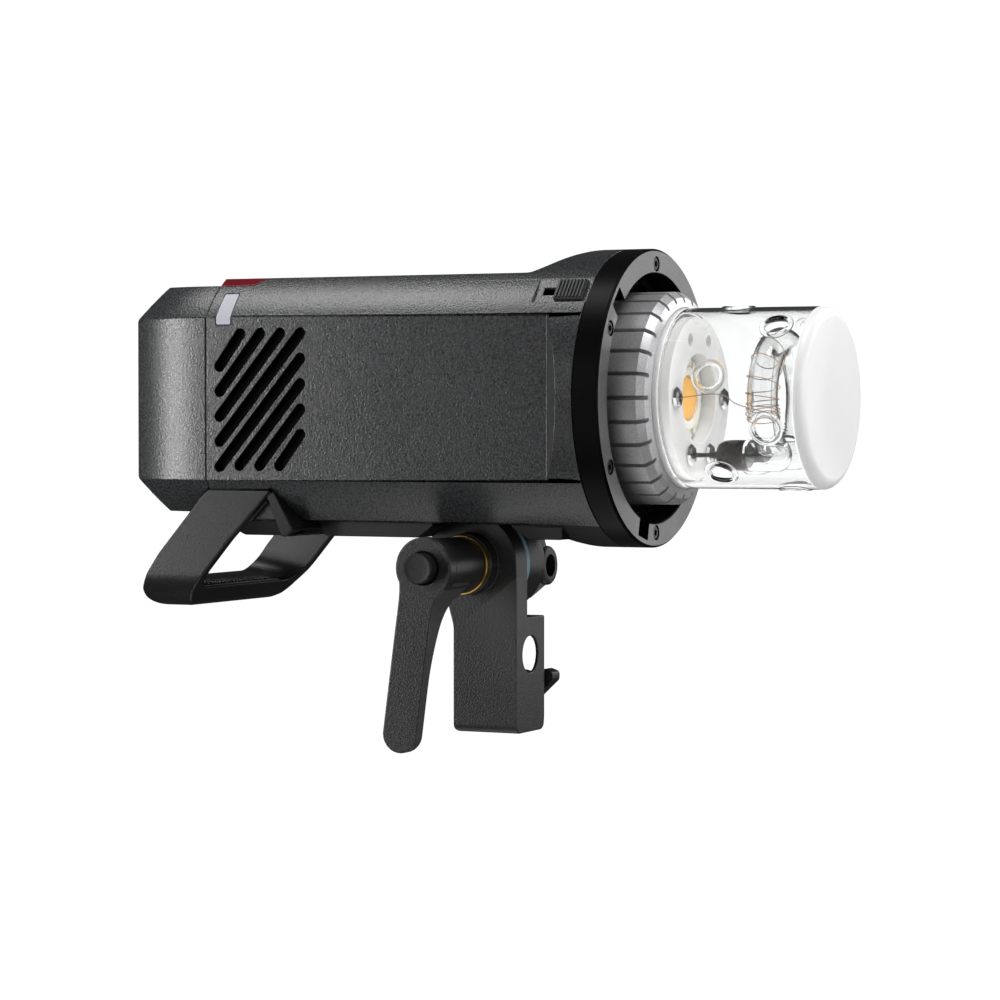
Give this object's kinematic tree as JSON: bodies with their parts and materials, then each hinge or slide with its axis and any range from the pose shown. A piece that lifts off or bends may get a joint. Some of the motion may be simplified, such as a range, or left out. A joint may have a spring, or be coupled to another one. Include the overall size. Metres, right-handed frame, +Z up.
{
  "type": "monolight strobe",
  "caption": "Battery studio flash head with bayonet front, glass dome, carrying handle and rear controls, tilting on a stand bracket with a clamp lever.",
  "frame": {"origin": "centre of the stand socket's mouth, in the bottom face of the bracket", "axes": "+Z up along the stand spigot, -Y the way the flash fires, +Y towards the control panel, -X the side of the clamp lever"},
  "size_m": [0.1331, 0.3219, 0.2199],
  "materials": {
    "shell_plastic": "fine grained moulded finish, satin",
    "black_plastic": "fine matt texture",
    "ring_metal": "black anodised satin, ground grey front face",
    "cast_metal": "powder coated casting, fine texture",
    "bare_aluminium": "bead blasted casting",
    "steel": "bright machined",
    "screw_steel": "blackened socket screw",
    "brass": "turned brass, slightly dull",
    "washer_blue": "pale blue friction disc",
    "sensor_red": "dark red translucent, glossy",
    "indicator_white": "milky light guide",
    "ceramic_white": "white glazed ceramic, satin",
    "led_board_cream": "white solder mask",
    "led_phosphor": "yellow phosphor",
    "clear_glass": "clear, frosted front cap and base band on the dome",
    "electrode_dark": "dark coated quartz",
    "wire_bronze": "thin oxidised wire",
    "lcd_glass": "dark cover glass, screen off",
    "circuit_board": "green solder mask",
    "capacitor_sleeve": "shrink sleeve",
    "transformer_wrap": "taped coil",
    "rubber_black": "matt rubber",
    "battery_case": "matt moulded case"
  },
  "bodies": {
    "bracket": {"stand_bracket": "cast_metal", "brass_ring": "brass", "friction_washer": "washer_blue", "tilt_bolt": "steel"},
    "head": {"main_shell": "shell_plastic", "rear_housing": "shell_plastic", "control_panel": "black_plastic", "port_block": "black_plastic", "fan_frame": "black_plastic", "handle_frame": "black_plastic", "bayonet_ring": "ring_metal", "front_bulkhead": "ring_metal", "tilt_lug": "cast_metal", "heat_sink": "bare_aluminium", "contact_socket_1": "steel", "contact_socket_2": "steel", "contact_socket_3": "steel", "contact_socket_4": "steel", "ring_screw_1": "screw_steel", "ring_screw_2": "screw_steel", "ring_screw_3": "screw_steel", "ring_screw_4": "screw_steel", "ring_screw_5": "screw_steel", "ring_screw_6": "screw_steel", "sensor_window": "sensor_red", "group_indicator_right": "indicator_white", "group_indicator_left": "indicator_white", "ceramic_base": "ceramic_white", "led_board": "led_board_cream", "led_emitter": "led_phosphor", "flash_tube": "clear_glass", "electrode_right": "electrode_dark", "electrode_left": "electrode_dark", "trigger_wire": "wire_bronze", "lcd_window": "lcd_glass", "main_board": "circuit_board", "power_board": "circuit_board", "flash_capacitor_1": "capacitor_sleeve", "flash_capacitor_2": "capacitor_sleeve", "flash_capacitor_3": "capacitor_sleeve", "trigger_transformer": "transformer_wrap", "handle_grip": "rubber_black"},
    "stand_lock": {"stand_lock_knob": "black_plastic"},
    "lever": {"tilt_lever": "cast_metal"},
    "lever_push": {"lever_button": "black_plastic"},
    "umbrella_lock": {"umbrella_screw": "black_plastic"},
    "dome": {"glass_dome": "clear_glass"},
    "mount_lock": {"lock_slider": "black_plastic"},
    "dial": {"control_dial": "black_plastic"},
    "set_key": {"set_button": "shell_plastic"},
    "menu_key": {"menu_button": "black_plastic"},
    "group_key": {"group_button": "black_plastic"},
    "lamp_key": {"lamp_button": "black_plastic"},
    "power_key": {"power_button": "black_plastic"},
    "test_key": {"test_button": "black_plastic"},
    "port_flap": {"port_cover": "rubber_black"},
    "battery": {"battery_pack": "battery_case"},
    "battery_release": {"battery_latch": "cast_metal"},
    "fan": {"fan_rotor": "black_plastic"}
  },
  "joints": [
    {"name": "head_tilt", "type": "hinge", "parent": "bracket", "child": "head", "pos_m": [0, 0.00715, 0.0754], "axis": [1, 0, 0], "range_deg": [-90, 60]},
    {"name": "tilt_lever_turn", "type": "hinge", "parent": "bracket", "child": "lever", "pos_m": [0, 0.00715, 0.0754], "axis": [1, 0, 0], "range_deg": [-70, 70]},
    {"name": "lever_button_push", "type": "slide", "parent": "lever", "child": "lever_push", "axis": [1, 0, 0], "range_m": [0, 0.003], "stiffness_N_per_m": 400},
    {"name": "stand_lock_turn", "type": "hinge", "parent": "bracket", "child": "stand_lock", "pos_m": [0, 0, 0.018], "axis": [1, 0, 0], "range_deg": [-180, 180]},
    {"name": "umbrella_lock_turn", "type": "hinge", "parent": "head", "child": "umbrella_lock", "pos_m": [0, 0.00715, 0.073], "axis": [1, 0, 0], "range_deg": [-180, 180]},
    {"name": "dome_pull", "type": "slide", "parent": "head", "child": "dome", "axis": [0, -1, 0], "range_m": [0, 0.1]},
    {"name": "mount_lock_slide", "type": "slide", "parent": "head", "child": "mount_lock", "axis": [0, 1, 0], "range_m": [0, 0.006], "stiffness_N_per_m": 300},
    {"name": "dial_turn", "type": "hinge", "parent": "head", "child": "dial", "pos_m": [0, 0.15365, 0.126], "axis": [0, 1, 0], "continuous": true},
    {"name": "set_press", "type": "slide", "parent": "dial", "child": "set_key", "axis": [0, -1, 0], "range_m": [0, 0.0008], "stiffness_N_per_m": 250},
    {"name": "menu_press", "type": "slide", "parent": "head", "child": "menu_key", "axis": [0, -1, 0], "range_m": [0, 0.0008], "stiffness_N_per_m": 250},
    {"name": "group_press", "type": "slide", "parent": "head", "child": "group_key", "axis": [0, -1, 0], "range_m": [0, 0.0008], "stiffness_N_per_m": 250},
    {"name": "lamp_press", "type": "slide", "parent": "head", "child": "lamp_key", "axis": [0, -1, 0], "range_m": [0, 0.0008], "stiffness_N_per_m": 250},
    {"name": "power_press", "type": "slide", "parent": "head", "child": "power_key", "axis": [0, -1, 0], "range_m": [0, 0.0008], "stiffness_N_per_m": 250},
    {"name": "test_press", "type": "slide", "parent": "head", "child": "test_key", "axis": [0, -1, 0], "range_m": [0, 0.0008], "stiffness_N_per_m": 250},
    {"name": "port_cover_swing", "type": "hinge", "parent": "head", "child": "port_flap", "pos_m": [0.0545, 0.12665, 0.138], "axis": [0, 0, -1], "range_deg": [0, 110]},
    {"name": "battery_slide", "type": "slide", "parent": "head", "child": "battery", "axis": [1, 0, 0], "range_m": [0, 0.075]},
    {"name": "battery_latch_slide", "type": "slide", "parent": "battery", "child": "battery_release", "axis": [0, 1, 0], "range_m": [0, 0.004], "stiffness_N_per_m": 400},
    {"name": "fan_spin", "type": "hinge", "parent": "head", "child": "fan", "pos_m": [0, 0.07865, 0.149], "axis": [0, 1, 0], "continuous": true}
  ]
}
